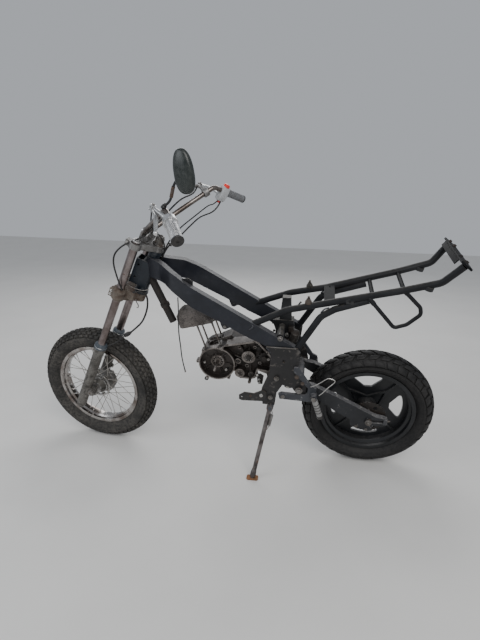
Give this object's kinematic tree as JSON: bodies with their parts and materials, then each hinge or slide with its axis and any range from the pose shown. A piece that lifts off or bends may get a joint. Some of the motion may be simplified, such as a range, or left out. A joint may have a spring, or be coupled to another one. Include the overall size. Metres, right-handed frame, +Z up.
{
  "type": "moped",
  "caption": "Stripped geared moped with an open engine and bare subframe, leaning on its side stand; wheels, steering and stand move.",
  "frame": {"origin": "on the floor under the middle of the whole bike", "axes": "+X forward along the rear wheel's track, +Y to the rider's left, +Z up"},
  "size_m": [1.9081, 0.8004, 1.4054],
  "materials": {
    "tyre_rubber": "dusty",
    "chrome_rim": "dull, dirty",
    "black_paint": "worn, dusty",
    "rusty_steel": "rusty",
    "worn_alloy": "dirty, oily",
    "bare_steel": "worn",
    "grip_rubber": "worn",
    "grey_plastic": "worn",
    "cable_black": "matt"
  },
  "bodies": {
    "chassis": {"spar_left": "black_paint", "spar_right": "black_paint", "head_tube": "black_paint", "pivot_plate_left": "black_paint", "pivot_plate_right": "black_paint", "subframe_rails": "black_paint", "subframe_crossbars": "black_paint", "tail_plate": "black_paint", "side_loop": "black_paint", "shock_mount": "black_paint", "shock_absorber": "black_paint", "shock_spring": "rusty_steel", "shock_bolts": "bare_steel", "swingarm": "black_paint", "pivot_bolt": "bare_steel", "rear_axle": "bare_steel", "crankcase_left": "worn_alloy", "crankcase_right": "worn_alloy", "drive_sprocket": "rusty_steel", "shift_shaft": "bare_steel", "engine_bolts": "bare_steel", "clutch_cover": "worn_alloy", "crankshaft": "bare_steel", "cylinder_studs": "bare_steel", "cylinder_head": "worn_alloy", "passenger_brackets": "worn_alloy", "passenger_pegs": "worn_alloy", "rider_footrest_arms": "worn_alloy", "head_bracket": "black_paint", "front_arm": "rusty_steel", "stand_bracket": "black_paint", "hanging_cable": "cable_black"},
    "steering": {"front_axle": "bare_steel", "fork_legs": "worn_alloy", "fork_tubes": "bare_steel", "lower_yoke": "rusty_steel", "upper_yoke": "worn_alloy", "stem_nut": "rusty_steel", "handlebar": "black_paint", "grips": "grip_rubber", "clutch_perch": "worn_alloy", "clutch_lever": "worn_alloy", "mirror": "grey_plastic", "right_switch": "grey_plastic", "brake_lever": "worn_alloy"},
    "front_wheel": {"front_tyre": "tyre_rubber", "front_rim": "chrome_rim", "front_hub": "worn_alloy", "front_spokes": "chrome_rim"},
    "rear_wheel": {"rear_tyre": "tyre_rubber", "rear_wheel": "black_paint", "rear_sprocket": "rusty_steel"},
    "side_stand": {"side_stand": "rusty_steel"}
  },
  "joints": [
    {"name": "steering", "type": "hinge", "parent": "chassis", "child": "steering", "pos_m": [0.62578, -0.18575, 0.28798], "axis": [-0.4087, 0.1651, 0.8976], "range_deg": [-30.16, 45.84]},
    {"name": "front_wheel_spin", "type": "hinge", "parent": "steering", "child": "front_wheel", "pos_m": [0.65326, -0.1876, 0.30084], "axis": [0.1245, 0.9844, -0.1243], "continuous": true},
    {"name": "rear_wheel_spin", "type": "hinge", "parent": "chassis", "child": "rear_wheel", "pos_m": [-0.65464, -0.18425, 0.29612], "axis": [0, 0.9835, -0.1809], "continuous": true},
    {"name": "side_stand", "type": "hinge", "parent": "chassis", "child": "side_stand", "pos_m": [-0.21469, -0.03646, 0.32019], "axis": [-0.0242, 0.9719, 0.2342], "range_deg": [0, 90.21]}
  ]
}
